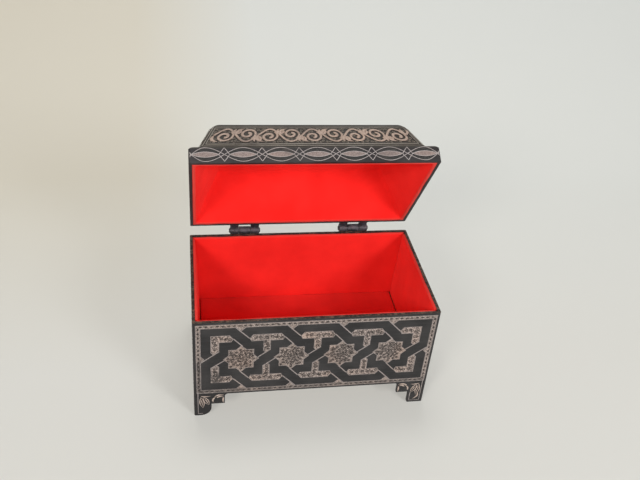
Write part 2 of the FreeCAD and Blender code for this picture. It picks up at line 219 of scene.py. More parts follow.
def nearSpot(tree, spot, reach, core=0.4):  # 1 over a spot's core, fading to 0 at its reach
    distance = tree.nodes.new("ShaderNodeVectorMath")
    distance.operation = "DISTANCE"
    distance.inputs[1].default_value = spot
    tree.links.new(objectCoords(tree), distance.inputs[0])
    fade = tree.nodes.new("ShaderNodeMapRange")
    fade.inputs["From Min"].default_value = reach
    fade.inputs["From Max"].default_value = reach * core
    tree.links.new(distance.outputs["Value"], fade.inputs["Value"])
    return fade.outputs["Result"]


def relief(tree, shader, height, strength, distance):
    node = tree.nodes.new("ShaderNodeBump")
    node.inputs["Strength"].default_value = strength
    node.inputs["Distance"].default_value = distance
    tree.links.new(height, node.inputs["Height"])
    tree.links.new(node.outputs["Normal"], shader.inputs["Normal"])


# Below, a noise is its scale, detail, roughness and any distortion, and a bump its strength and depth

woodLook = dict(
    roughness=0.55, specular=0.25, stretch=14, fibres=(55, 5, 0.6), cloud=(38, 3, 0.55), rub=(420, 4, 0.7),
    fibreStops=(0.3, 0.72), darker=0.84, paler=1.12, haze=(66, 64, 64), hazeStops=((0.45, 0.0), (0.72, 0.6)),
    fleck=(104, 92, 84), fleckStops=((0.7, 0.0), (0.78, 0.5)), chips=(300, 3, 0.7),
    rimStops=((0.45, (32, 27, 25)), (0.62, (92, 77, 65))), roughStops=((0.3, 0.42), (0.75, 0.62)),
    bump=(0.25, 0.0004),
)


def darkWood(name, along, field, rim=None):  # near-black stained board, grain along an axis, rubbed
    look = woodLook
    made, tree, shader = startMaterial(name, look["roughness"], specular=look["specular"])
    coords = objectCoords(tree)
    stretch = [look["stretch"]] * 3
    stretch[along] = 1
    fibres = grain(tree, objectCoords(tree, stretch), *look["fibres"])
    cloud = grain(tree, coords, *look["cloud"])
    rub = grain(tree, coords, *look["rub"])
    tones = [[c * share for c in field] for share in (look["darker"], look["paler"])]
    base = ramp(tree, fibres, *zip(look["fibreStops"], tones))
    base = blendColours(tree, ramp(tree, cloud, *look["hazeStops"]), base, look["haze"])
    base = blendColours(tree, ramp(tree, rub, *look["fleckStops"]), base, look["fleck"])
    if rim:  # the top edge is rubbed brown and chipped
        worn = ramp(tree, grain(tree, coords, *look["chips"]), *look["rimStops"])
        base = blendColours(tree, above(tree, rim), base, worn)
    tree.links.new(base, shader.inputs["Base Color"])
    tree.links.new(ramp(tree, cloud, *look["roughStops"]), shader.inputs["Roughness"])
    relief(tree, shader, fibres, *look["bump"])
    return made


metalLook = dict(
    roughness=0.55, specular=0.45, stain=(60, 4, 0.6), tint=(26, 2, 0.5), punchStops=(0.12, 0.62),
    tintStops=((0.5, 0.0), (0.72, 0.45)), soot=(84, 76, 74), sootStops=((0.55, 0.0), (0.75, 0.6)),
    pit=(66, 58, 55), pitNoise=(1000, 2, 0.5), pitStops=(0.5, 0.58),
    thin=(80, 75, 73), thinNoise=(500, 3, 0.6), thinStops=((0.35, 0.15), (0.6, 0.75)),
    bare=(62, 58, 57), bareNoise=(700, 3, 0.6), bareStops=((0.38, 0.0), (0.5, 0.95)),
    roughStops=((0.35, 0.42), (0.7, 0.68)), bump=(0.5, 0.0005),
)


def inlayMetal(name, field, hollow, copper, pebble, worn=(), pits=0.0, thinBelow=None):
    look = metalLook  # tarnished and finely punched
    made, tree, shader = startMaterial(name, look["roughness"], specular=look["specular"])
    coords = objectCoords(tree)
    punch = cells(tree, coords, pebble)
    stain = grain(tree, coords, *look["stain"])
    tint = grain(tree, coords, *look["tint"])
    base = ramp(tree, punch, *zip(look["punchStops"], (field, hollow)))
    base = blendColours(tree, ramp(tree, tint, *look["tintStops"]), base, copper)
    base = blendColours(tree, ramp(tree, stain, *look["sootStops"]), base, look["soot"])
    if pits:  # small dark punch marks all over
        marks = ramp(tree, grain(tree, coords, *look["pitNoise"]), *zip(look["pitStops"], (0.0, pits)))
        base = blendColours(tree, marks, base, look["pit"])
    if thinBelow:  # the lowest run is rubbed thin
        patchy = ramp(tree, grain(tree, coords, *look["thinNoise"]), *look["thinStops"])
        rubbed = blendColours(tree, patchy, base, look["thin"])
        base = blendColours(tree, above(tree, thinBelow), rubbed, base)
    for spot, reach in worn:  # rubbed nearly away
        patchy = ramp(tree, grain(tree, coords, *look["bareNoise"]), *look["bareStops"])
        gone = blendColours(tree, nearSpot(tree, spot, reach), (0, 0, 0), patchy)
        base = blendColours(tree, gone, base, look["bare"])
    tree.links.new(base, shader.inputs["Base Color"])
    tree.links.new(ramp(tree, stain, *look["roughStops"]), shader.inputs["Roughness"])
    relief(tree, shader, punch, *look["bump"])
    return made


feltLook = dict(
    roughness=0.95, specular=0.12, sheen=0.25, sheenRoughness=0.6, sheenTint=(255, 120, 110),
    fibre=(1500, 4, 0.7, 0.6), cloud=(45, 3, 0.5), cloudStops=(0.3, 0.7),
    nap=(255, 78, 70), napStops=((0.62, 0.0), (0.8, 0.4)),
    cut=(204, 70, 62), cutStops=((0.0, 0.0), (1.0, 0.7)), bump=(0.5, 0.0004),
)


def redFelt(name, deep, bright):  # paler along its cut edge
    look = feltLook
    made, tree, shader = startMaterial(name, look["roughness"], specular=look["specular"])
    shader.inputs["Sheen Weight"].default_value = look["sheen"]
    shader.inputs["Sheen Roughness"].default_value = look["sheenRoughness"]
    shader.inputs["Sheen Tint"].default_value = srgb(*look["sheenTint"])
    coords = objectCoords(tree)
    fibre = grain(tree, coords, *look["fibre"])
    cloud = grain(tree, coords, *look["cloud"])
    base = ramp(tree, cloud, *zip(look["cloudStops"], (deep, bright)))
    base = blendColours(tree, ramp(tree, fibre, *look["napStops"]), base, look["nap"])
    edge = tree.nodes.new("ShaderNodeAttribute")
    edge.attribute_name = "edge"
    base = blendColours(tree, ramp(tree, edge.outputs["Fac"], *look["cutStops"]), base, look["cut"])
    tree.links.new(base, shader.inputs["Base Color"])
    relief(tree, shader, fibre, *look["bump"])
    return made


ironLook = dict(
    roughness=0.5, metallic=0.35, cloud=(240, 5, 0.65), scuff=(900, 3, 0.6),
    cloudStops=((0.35, (44, 38, 42)), (0.62, (88, 80, 88))), bright=(140, 134, 142),
    scuffStops=((0.6, 0.0), (0.72, 0.55)), roughStops=((0.3, 0.35), (0.7, 0.65)), bump=(0.3, 0.0003),
)


def blackIron():
    look = ironLook
    made, tree, shader = startMaterial("blackIron", look["roughness"], metallic=look["metallic"])
    coords = objectCoords(tree)
    cloud = grain(tree, coords, *look["cloud"])
    scuff = grain(tree, coords, *look["scuff"])
    base = ramp(tree, cloud, *look["cloudStops"])
    base = blendColours(tree, ramp(tree, scuff, *look["scuffStops"]), base, look["bright"])
    tree.links.new(base, shader.inputs["Base Color"])
    tree.links.new(ramp(tree, cloud, *look["roughStops"]), shader.inputs["Roughness"])
    relief(tree, shader, scuff, *look["bump"])
    return made


plainLook = dict(
    roughness=0.7, specular=0.3, stretch=(1, 16, 16), fibres=(48, 6, 0.6, 0.4),
    stops=((0.3, (122, 88, 56)), (0.7, (176, 138, 94))), bump=(0.3, 0.0005),
)


def plainWood():
    look = plainLook
    made, tree, shader = startMaterial("plainWood", look["roughness"], specular=look["specular"])
    fibres = grain(tree, objectCoords(tree, look["stretch"]), *look["fibres"])
    tree.links.new(ramp(tree, fibres, *look["stops"]), shader.inputs["Base Color"])
    relief(tree, shader, fibres, *look["bump"])
    return made


wear = dict(  # spots are (place, reach) in metres
    corner=(((-0.0745, -0.0534, 0.0395), 0.0085),),
    leftEdge=(((-0.0866, -0.0534, 0.050), 0.0100), ((-0.0866, -0.0534, 0.032), 0.0130)),
    borderThin=0.0037, rimDeep=0.0002,
)
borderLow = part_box("front_border")[0].z + wear["borderThin"]
rimLevel = caseTop - wear["rimDeep"]

woods = dict(  # the grain's axis, the tone, and where a rubbed rim begins
    boardLong=(0, (42, 41, 42), rimLevel),
    boardShort=(1, (42, 41, 42), rimLevel),
    bandLong=(0, (36, 32, 34)),
    bandShort=(1, (36, 32, 34)),
    coveLong=(0, (50, 44, 40)),
    coveShort=(1, (50, 44, 40)),
)
metals = dict(  # tones of the field, its hollows and its copper tint, the punching's scale, then any wear
    inlayField=((182, 167, 160), (130, 118, 112), (178, 149, 132), 950, wear["corner"], 0.6),
    inlayBar=((196, 180, 173), (140, 127, 121), (190, 160, 143), 950, wear["corner"], 0.95),
    inlayBorder=((182, 167, 160), (130, 118, 112), (172, 149, 136), 950, wear["leftEdge"], 0.6, borderLow),
    inlayLine=((162, 152, 150), (138, 129, 127), (152, 136, 128), 1400, wear["corner"]),
    engraved=((56, 49, 46), (42, 37, 36), (68, 52, 44), 1500),
    groove=((25, 21, 21), (18, 15, 15), (34, 26, 22), 1500),
    wire=((184, 175, 173), (158, 149, 147), (170, 156, 150), 1400),
    lens=((150, 133, 128), (118, 104, 100), (156, 129, 118), 1100),
    ornament=((184, 161, 147), (152, 132, 120), (180, 148, 128), 1200),
    footLeaf=((208, 189, 178), (174, 156, 146), (196, 168, 150), 1200),
    frameLine=((150, 143, 134), (126, 119, 111), (144, 128, 114), 1400),
    tendril=((142, 132, 121), (112, 103, 94), (138, 118, 102), 1500),
)
finishes = {name: darkWood(name, *look) for name, look in woods.items()}
finishes.update((name, inlayMetal(name, *look)) for name, look in metals.items())
finishes.update(
    felt=redFelt("redFelt", (236, 34, 30), (250, 42, 37)),
    floorFelt=redFelt("floorFelt", (219, 39, 36), (235, 47, 43)),  # a duller red
    iron=blackIron(),
    plain=plainWood(),
)
inlayFinish = {"stars": "inlayField", "bars": "inlayBar", "border": "inlayBorder", "strap_lines": "inlayLine",
               "lenses": "lens"}


def finishOf(node):
    for part, finish in inlayFinish.items():
        if node.endswith("_" + part):
            return finish
    if "hinge" in node:
        return "iron"
    if node.startswith("floor") or node.endswith("foot_block"):
        return "plain"
    long = "front" in node or "back" in node or "top" in node
    if "cove" in node or "top" in node:
        return "coveLong" if long else "coveShort"
    if "band" in node:
        return "bandLong" if long else "bandShort"
    return "boardLong" if long else "boardShort"


for name, node in nodes.items():
    node.data.materials.clear()
    node.data.materials.append(finishes[finishOf(name)])
print("finishes on", len(nodes), "frame nodes")


# Raised lines: strokes of (u, v, width) points in mm, drawn flat and laid on a surface

def addPiece(name, mesh, finish, body):
    piece = bpy.data.objects.new(name, mesh)
    bpy.context.scene.collection.objects.link(piece)
    mesh.materials.clear()
    mesh.materials.append(finishes[finish])
    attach(piece, body)
    return piece


def asMesh(maker):
    bpy.context.view_layer.update()
    graph = bpy.context.evaluated_depsgraph_get()
    mesh = bpy.data.meshes.new_from_object(maker.evaluated_get(graph))
    data = maker.data
    bpy.data.objects.remove(maker)
    (bpy.data.curves if isinstance(data, bpy.types.Curve) else bpy.data.meshes).remove(data)
    return mesh


def lay(name, strokes, place, rise, finish, body, roundness=1):
    # rise is the stroke's height over its half width; closed strokes start and end on one point
    curve = bpy.data.curves.new(name, "CURVE")
    curve.dimensions = "3D"
    curve.twist_mode = "Z_UP"
    curve.bevel_depth = 1.0
    curve.bevel_resolution = roundness
    curve.use_fill_caps = True
    for stroke in strokes:
        closed = stroke[0][:2] == stroke[-1][:2]
        points = stroke[:-1] if closed else stroke
        spline = curve.splines.new("POLY")
        spline.use_cyclic_u = closed
        spline.points.add(len(points) - 1)
        for point, (u, v, width) in zip(spline.points, points):
            point.co = (u, v, 0, 1)
            point.radius = width / 2
    maker = bpy.data.objects.new(name, curve)
    bpy.context.scene.collection.objects.link(maker)
    mesh = asMesh(maker)
    mesh.name = name
    for vertex in mesh.vertices:
        vertex.co = place(vertex.co.x, vertex.co.y, vertex.co.z * rise)
    bm = bmesh.new()
    bm.from_mesh(mesh)
    bmesh.ops.remove_doubles(bm, verts=bm.verts, dist=strokeWeld)
    bmesh.ops.recalc_face_normals(bm, faces=bm.faces)
    for face in bm.faces:
        face.smooth = True
    bm.to_mesh(mesh)
    bm.free()
    addPiece(name, mesh, finish, body)


def curl(u, v, start, turns, outer, inner, thick, thin, points):  # a spiral that closes on its middle
    stroke = []
    for i in range(points):
        t = i / (points - 1)
        radius = outer + (inner - outer) * t
        angle = start + turns * 2 * math.pi * t
        width = thick + (thin - thick) * t
        stroke.append((u + radius * math.cos(angle), v + radius * math.sin(angle), width))
    return stroke


blade = dict(thinnest=0.25, lean=0.8)


def leaf(start, end, bend, width, points=9):  # a blade that swells before its middle and ends in a point
    away = Vector(end) - Vector(start)
    side = Vector((-away.y, away.x)) * bend
    stroke = []
    for i in range(points):
        t = i / (points - 1)
        p = Vector(start) + away * t + side * math.sin(math.pi * t)
        stroke.append((p.x, p.y, max(blade["thinnest"], width * math.sin(math.pi * t ** blade["lean"]))))
    return stroke


def even(points, width):
    return [(u, v, width) for u, v in points]


# Outlines of the inlay, read from the frame

def outlines(node, toSide):  # loops round the outer faces of a node's pieces, as (u, v) in mm
    bm = bmesh.new()
    bm.from_mesh(nodes[node].data)
    bmesh.ops.remove_doubles(bm, verts=bm.verts, dist=nodeWeld)
    bmesh.ops.transform(bm, matrix=toSide.inverted(), verts=bm.verts)
    outer = {f for f in bm.faces if all(abs(v.co.y) < flush for v in f.verts)}
    rim = [e for e in bm.edges if len([f for f in e.link_faces if f in outer]) == 1]
    ahead = {}
    for edge in rim:
        face = next(f for f in edge.link_faces if f in outer)
        loop = next(l for l in face.loops if l.edge == edge)
        ahead[loop.vert] = loop.link_loop_next.vert
    loops = []
    while ahead:
        vert = next(iter(ahead))
        loop = []
        while vert in ahead:
            loop.append((vert.co.x / mm, vert.co.z / mm))
            vert = ahead.pop(vert)
        loops.append(loop)
    bm.free()
    return loops


def insetLoop(loop, distance, sharpest=0.4):  # the loop moved in along its mitres
    moved = []
    count = len(loop)
    for i in range(count):
        back = (Vector(loop[i]) - Vector(loop[i - 1])).normalized()
        ahead = (Vector(loop[(i + 1) % count]) - Vector(loop[i])).normalized()
        normals = [Vector((-d.y, d.x)) for d in (back, ahead)]
        mitre = (normals[0] + normals[1]).normalized()
        reach = distance / max(sharpest, mitre.dot(normals[0]))
        moved.append(tuple(Vector(loop[i]) + mitre * reach))
    return moved + moved[:1]


def edgeDistance(u, v, loops):  # positive inside the loops
    nearest, inside = math.inf, False
    for loop in loops:
        for (au, av), (bu, bv) in zip(loop, loop[1:] + loop[:1]):
            du, dv = bu - au, bv - av
            t = max(0.0, min(1.0, ((u - au) * du + (v - av) * dv) / (du * du + dv * dv)))
            nearest = min(nearest, math.hypot(u - au - t * du, v - av - t * dv))
            if (av > v) != (bv > v) and u < au + (v - av) / dv * du:
                inside = not inside
    return nearest if inside else -nearest


def packCurls(loops, space, reach, step):  # middles for curls, deepest first, none closer than space
    us, vs = ([p[i] for loop in loops for p in loop] for i in (0, 1))
    places = []
    v = min(vs) + step / 2
    while v < max(vs):
        u = min(us) + step / 2
        while u < max(us):
            depth = edgeDistance(u, v, loops)
            if depth >= reach:
                places.append((round(-depth, 1), round(u, 3), round(v, 3)))
            u += step
        v += step
    kept = []
    for depth, u, v in sorted(places):
        if all(math.hypot(u - a, v - b) >= space for a, b in kept):
            kept.append((u, v))
    return kept


# Engraving on the case

engraving = dict(
    rim=0.6, rimIn=0.33, rise=0.3, step=0.6, turns=1.5, anyTurn=6.3, eye=0.3, taper=0.8, points=12,
    stars=dict(radius=1.15, space=2.4, reach=1.3, line=0.58),
    bars=dict(radius=1.5, space=3.2, reach=1.6, line=0.62),
    linkPitch=3.9, linkLong=2.7, linkWide=1.35, linkIn=1.8, linkPoints=5,
)


def borderLinks(left, right, low, high):  # a chain of pointed links along the middle of the border
    rules = engraving
    middle, half = rules["linkIn"], rules["linkLong"] / 2
    runs = ((low + middle, left, right, False), (high - middle, left, right, False),
            (left + middle, low, high, True), (right - middle, low, high, True))
    links = []
    for fixed, start, end, upright in runs:
        run = end - start - 2 * middle
        count = round(run / rules["linkPitch"])
        for i in range(count):
            along = start + middle + run * (i + 0.5) / count
            tips = ((along - half, fixed), (along + half, fixed))
            if upright:
                tips = ((fixed, along - half), (fixed, along + half))
            links.append(leaf(*tips, 0.0, rules["linkWide"], rules["linkPoints"]))
    return links


def engraveCase(side):
    rules = engraving
    place = onCase(side)
    draw = random.Random(side)
    rims, curls = [], []
    for part in ("stars", "bars"):
        size = rules[part]
        for loop in outlines(side + "_" + part, caseSide[side]):
            rims.append(even(insetLoop(loop, rules["rimIn"]), rules["rim"]))
            for u, v in packCurls([loop], size["space"], size["reach"], rules["step"]):
                turns = draw.choice((-1, 1)) * rules["turns"]
                start = draw.uniform(0, rules["anyTurn"])
                curls.append(curl(u, v, start, turns, size["radius"], rules["eye"], size["line"],
                                  size["line"] * rules["taper"], rules["points"]))
    border = outlines(side + "_border", caseSide[side])
    rims += [even(insetLoop(loop, rules["rimIn"]), rules["rim"]) for loop in border]
    us, vs = ([p[i] for loop in border for p in loop] for i in (0, 1))
    links = borderLinks(min(us), max(us), min(vs), max(vs))
    lay(side + "InlayRims", rims, place, rules["rise"], "inlayLine", "case", roundness=0)
    lay(side + "InlayCurls", curls, place, rules["rise"], "engraved", "case", roundness=0)
    lay(side + "BorderLinks", links, place, rules["rise"], "engraved", "case", roundness=0)


footOrnament = dict(  # places are (mm from the board's end, mm up), leaves end with their bow and width
    line=0.7, rise=0.3, lineIn=2.6, low=1.9, toeIn=11.0, toeHigh=11.0, top=25.0, wornEnd=6.0,
    leaves=(
        ((4.8, 19.4), (6.2, 8.0), 0.14, 0.8), ((4.8, 19.4), (6.2, 8.0), -0.14, 0.8),
        ((5.0, 17.0), (6.1, 10.0), 0.0, 0.7), ((7.0, 19.4), (10.8, 10.8), 0.2, 0.8),
        ((7.0, 19.4), (10.8, 10.8), -0.16, 0.8), ((7.8, 17.4), (10.2, 12.2), 0.0, 0.8),
        ((4.6, 20.8), (11.8, 20.2), 0.08, 1.0), ((13.8, 13.6), (16.2, 19.2), -0.2, 1.4),
        ((14.8, 19.4), (21.8, 20.6), -0.12, 1.5), ((16.6, 17.9), (21.4, 18.6), -0.22, 1.2),
        ((21.6, 18.4), (21.6, 12.6), 0.06, 1.4),
    ),
    toeLeaf=((4.6, 10.6), (8.2, 3.3), 0.2, 1.4),
)


def ornamentFeet(side):  # a line round each toe, and leafy sprays above it
    rules = footOrnament
    half = caseFacts[side][1] / 2 / mm
    lines, leaves = [], []
    for hand in (-1, 1):
        def at(fromEnd, v):
            return hand * (half - fromEnd), v
        worn = side == "front" and hand < 0  # this toe has lost its leaf and half its line
        toe = [at(rules["lineIn"], rules["top"]), at(rules["lineIn"], rules["low"])]
        if worn:
            toe.append(at(rules["wornEnd"], rules["low"]))
        else:
            toe += [at(rules["toeIn"], rules["low"]), at(rules["toeIn"], rules["toeHigh"])]
        lines.append(even(toe, rules["line"]))
        spray = rules["leaves"] if worn else rules["leaves"] + (rules["toeLeaf"],)
        for start, end, bow, wide in spray:
            leaves.append(leaf(at(*start), at(*end), bow * hand, wide))
    lay(side + "FootLines", lines, onCase(side), rules["rise"], "inlayLine", "case")
    lay(side + "FootScrolls", leaves, onCase(side), rules["rise"], "footLeaf", "case")


for side in sideTurn:
    engraveCase(side)
    ornamentFeet(side)
print("case engraving done")


# The lid: guilloche bands, a worn shell, and ornament on its coves and top

guilloche = dict(middle=6.7, swing=5.3, inner=2.1, tip=9.3, endTip=9.6, wire=0.5, rise=0.5, grooveRise=0.04,
                 margin=0.4, endRoom=22.0, pitch=26.1, steps=32)


def guillocheBand(side):
    rules = guilloche
    half = lidFacts[side][1] / 2 / mm
    run = 2 * half - rules["endRoom"]
    count = round(run / rules["pitch"]) + 1
    pitch = run / (count - 1)
    edge = half - rules["margin"]
    wires, grooves = [], []
    for i in range(count):
        middle = run * (i / (count - 1) - 0.5)
        for way in (-1, 1):
            arch, inner, groove = [], [], []
            for k in range(rules["steps"] + 1):
                x = (k / rules["steps"] - 0.5) * pitch
                if abs(middle + x) > edge:
                    continue
                atEnd = i in (0, count - 1) and x * middle > 0  # the last knots are cut short by the corners
                reach = rules["endTip"] if atEnd else pitch / 2
                top = rules["swing"] * math.cos(math.pi / 2 * x / reach)
                arch.append((middle + x, rules["middle"] + way * top))
                if abs(x) <= rules["tip"]:
                    rise = rules["inner"] * (1 - (x / rules["tip"]) ** 2)
                    groove.append((middle + x, rules["middle"] + way * (top + rise) / 2, top - rise))
                else:
                    rise = -rules["swing"] * (abs(x) - rules["tip"]) / (pitch / 2 - rules["tip"])
                inner.append((middle + x, rules["middle"] + way * rise))
            wires += [even(arch, rules["wire"]), even(inner, rules["wire"])]
            grooves.append(groove)
    lay("lid" + side.title() + "Guilloche", wires, onBand(side), rules["rise"], "wire", "lid")
    lay("lid" + side.title() + "LensGrooves", grooves, onBand(side), rules["grooveRise"], "groove", "lid",
        roundness=0)


lidShell = dict(thick=2.0, bandRound=1.2, noseTurn=(0.3, 1.9), noseStart=0.3, hipRound=3.0, slopeSteps=19,
                flatFrom=19.5, topRound=4.5, steps=8)


def bend(start, turn, end, t):  # along a curve that leaves and arrives towards its turning point
    return start * (1 - t) ** 2 + turn * 2 * t * (1 - t) + end * t * t


def shellProfile():  # (inset and rise, corner radius) up the lid's worn wood, softer than it was sawn
    rules = lidShell
    top = (topHigh - bandHigh) / mm
    foot, nose = Vector((0, rules["noseStart"])), covePoints[0]
    shoulder = covePoints[rules["slopeSteps"]]
    slope = shoulder - covePoints[rules["slopeSteps"] - 1]
    crest = shoulder + slope * (top - shoulder.y) / slope.y
    levels = [(Vector((0, 0)), rules["bandRound"])]
    for i in range(rules["steps"]):
        t = i / rules["steps"]
        levels.append((bend(foot, Vector(rules["noseTurn"]), nose, t),
                       rules["bandRound"] + (rules["hipRound"] - rules["bandRound"]) * t))
    levels += [(point, rules["hipRound"]) for point in covePoints[:rules["slopeSteps"]]]
    for i in range(rules["steps"] + 1):
        t = i / rules["steps"]
        levels.append((bend(shoulder, crest, Vector((rules["flatFrom"], top)), t),
                       rules["hipRound"] + (rules["topRound"] - rules["hipRound"]) * t))
    return levels


def ringEdges(bm, ring):
    return [bm.edges.get((ring[i - 1], ring[i])) for i in range(len(ring))]


def placeRing(ring, inset, rise, radius):  # draws a ring out to a rectangle with round corners
    steps = lidShell["steps"]
    wide = lidFacts["front"][1] / 2 / mm - inset - radius
    deep = lidFacts["right"][1] / 2 / mm - inset - radius
    for i, vertex in enumerate(ring):
        corner, step = divmod(i, steps + 1)
        across, along = ((1, 1), (-1, 1), (-1, -1), (1, -1))[corner]
        angle = math.pi / 2 * (corner + step / steps)
        x = across * wide + radius * math.cos(angle)
        y = along * deep + radius * math.sin(angle)
        vertex.co = openTurn @ (Vector((x, y, rise)) * mm + Vector((0, 0, bandHigh)))


def nextRing(bm, ring):  # a ring extruded from the last one, in the same order
    made = bmesh.ops.extrude_edge_only(bm, edges=ringEdges(bm, ring))["geom"]
    order = {vertex: i for i, vertex in enumerate(ring)}
    fresh = list(ring)
    for vertex in made:
        if isinstance(vertex, bmesh.types.BMVert):
            source = next(e.other_vert(vertex) for e in vertex.link_edges if e.other_vert(vertex) in order)
            fresh[order[source]] = vertex
    return fresh


def roundLid():
    thick = lidShell["thick"]
    levels = shellProfile()
    inside = [(p.x + thick, max(p.y - thick, 0), radius) for p, radius in levels[::-1]
              if p.y >= thick or p.y == 0]
    outside = [(p.x, p.y, radius) for p, radius in levels]
    bm = bmesh.new()
    ring = bmesh.ops.create_circle(bm, segments=4 * (lidShell["steps"] + 1), radius=1)["verts"]
    rings = []
    for level in inside + outside:  # from the ceiling down, under the foot and up to the top
        if rings:
            ring = nextRing(bm, ring)
        placeRing(ring, *level)
        rings.append(ring)
    for ring in (rings[0], rings[-1]):
        bmesh.ops.edgeloop_fill(bm, edges=ringEdges(bm, ring))
    for ring in rings[len(inside) - 1:len(inside) + 1]:  # the foot stays sharp
        for edge in ringEdges(bm, ring):
            edge.smooth = False
    bmesh.ops.recalc_face_normals(bm, faces=bm.faces)
    mesh = bpy.data.meshes.new("lidShell")
    bm.to_mesh(mesh)
    bm.free()
    piece = addPiece("lidShell", mesh, "coveLong", "lid")
    mesh.materials.append(finishes["coveShort"])
    wide, deep = lidFacts["front"][1] / 2, lidFacts["right"][1] / 2
    for face in mesh.polygons:
        face.use_smooth = True
        centre = shutTurn @ face.center
        face.material_index = int(wide - abs(centre.x) < deep - abs(centre.y))  # the short sides' grain turns
    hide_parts(*["lid_" + side + "_cove" for side in sideTurn], "lid_top_panel")


roundLid()
print("lid shell done")


vine = dict(  # a leaf is its start (units along, mm up), end (units along, swings up), bow and share of width
    unit=16.5, stem=1.8, margin=1.2, steps=14, hollow=0.2, branch=2.1, branchFrom=58, branchTurns=1.4,
    branchReach=0.4, eye=1.3, outerShare=0.85, eyeShare=1.15, points=30, leaf=2.8,
    leaves=(((-0.5, 0.0), (-0.2, -1.05), -0.3, 1.0), ((0.44, 2.0), (0.4, 1.05), 0.2, 1.0),
            ((0.5, 1.2), (0.62, 1.0), -0.2, 0.8)),
)


def scrollVine(half, low, high):  # a waving stem, a curl in each hollow, and leaves
    rules = vine
    middle, swing = (low + high) / 2, (high - low) / 2 - rules["margin"]
    count = max(2, round(2 * half / rules["unit"]))
    unit = 2 * half / count
    stem = []
    for i in range(count * rules["steps"] + 1):
        x = -half + 2 * half * i / (count * rules["steps"])
        stem.append((x, middle + swing * math.sin(math.pi * (x + half) / unit), rules["stem"]))
    ribbons = [stem]
    for i in range(count):
        way = 1 if i % 2 == 0 else -1
        u = -half + (i + 0.5) * unit
        hollow = middle - way * swing * rules["hollow"]
        ribbons.append(curl(u, hollow, way * math.radians(rules["branchFrom"]), -way * rules["branchTurns"],
                            unit * rules["branchReach"], rules["eye"], rules["branch"] * rules["outerShare"],
                            rules["branch"] * rules["eyeShare"], rules["points"]))
        for (startU, startV), (endU, endV), bow, share in rules["leaves"]:
            start = (u + unit * startU, middle + way * startV)
            end = (u + unit * endU, middle + way * swing * endV)
            ribbons.append(leaf(start, end, bow * way, rules["leaf"] * share))
    return ribbons


fill = dict(radius=1.15, line=0.5, jitter=0.4, clear=0.85, turns=1.3, anyTurn=6.3, eye=0.3, points=11)


def fillCurls(ribbons, half, low, high, seed):  # small curls wherever the ribbons leave room
    rules = fill
    radius, jitter = rules["radius"], rules["jitter"]
    taken = [(u, v, wide / 2) for ribbon in ribbons for u, v, wide in ribbon]
    tree = kdtree.KDTree(len(taken))
    for i, (u, v, wide) in enumerate(taken):
        tree.insert((u, v, 0), i)
    tree.balance()
    draw = random.Random(seed)
    spots = []
    for i in range(int(2 * half)):
        for k in range(int(high - low)):
            u = i + 0.5 - half + draw.uniform(-jitter, jitter)
            spots.append((u, low + k + 0.5 + draw.uniform(-jitter, jitter)))
    kept, curls = [], []
    for u, v in spots:
        near = tree.find((u, v, 0))
        clear = near[2] - taken[near[1]][2] >= radius * rules["clear"]
        if clear and all(math.hypot(u - a, v - b) >= 2 * radius for a, b in kept):
            kept.append((u, v))
            start = draw.uniform(0, rules["anyTurn"])
            turns = draw.choice((-1, 1)) * rules["turns"]
            curls.append(curl(u, v, start, turns, radius, rules["eye"], rules["line"], rules["line"],
                              rules["points"]))
    return curls


coveOrnament = dict(
    low=4.4, high=27.6, frameIn=(2.3, 3.9), frameUp=(0.0, 2.6), line=0.8, footLine=1.5, steps=16,
    fieldIn=6.0, fieldLow=9.0, fieldHigh=25.8, spill=1, lineRise=0.4, scrollRise=0.3, curlRise=0.4,
)


def ornamentCove(side):
    rules = coveOrnament
    width = lidFacts[side][1] / mm
    place = onCove(side)
    frameLines = []
    for frameIn, frameUp in zip(rules["frameIn"], rules["frameUp"]):
        low, high = rules["low"] + frameUp, rules["high"] + rules["frameIn"][0] - frameIn
        right = []
        for i in range(rules["steps"] + 1):
            v = low + (high - low) * i / rules["steps"]
            right.append((width / 2 - coveInset(v) - frameIn, v))
        loop = right + [(-u, v) for u, v in reversed(right)]
        frameLines.append(even(loop + loop[:1], rules["line"]))
        frameLines.append(even((loop[-1], loop[0]), rules["footLine"]))  # bolder in the hollow above the band
    name = "lid" + side.title()
    lay(name + "CoveLines", frameLines, place, rules["lineRise"], "frameLine", "lid", roundness=0)
    middleHalf = width / 2 - coveInset(coveLength / 2) - rules["fieldIn"]

    def fitted(u, v, h):  # the field narrows as the hips lean in
        return place(u * (width / 2 - coveInset(v) - rules["fieldIn"]) / middleHalf, v, h)
    field = rules["fieldLow"], rules["fieldHigh"]
    ribbons = scrollVine(middleHalf, *field)
    curls = fillCurls(ribbons, middleHalf + rules["spill"], *field, side)
    lay(name + "Scrolls", ribbons, fitted, rules["scrollRise"], "ornament", "lid")
    lay(name + "Curls", curls, fitted, rules["curlRise"], "tendril", "lid", roundness=0)


topOrnament = dict(frameIn=(3.4, 4.8), fieldIn=7.5, gap=1.2, line=0.55, spill=1, lineRise=0.5, scrollRise=0.3,
                   curlRise=0.4)


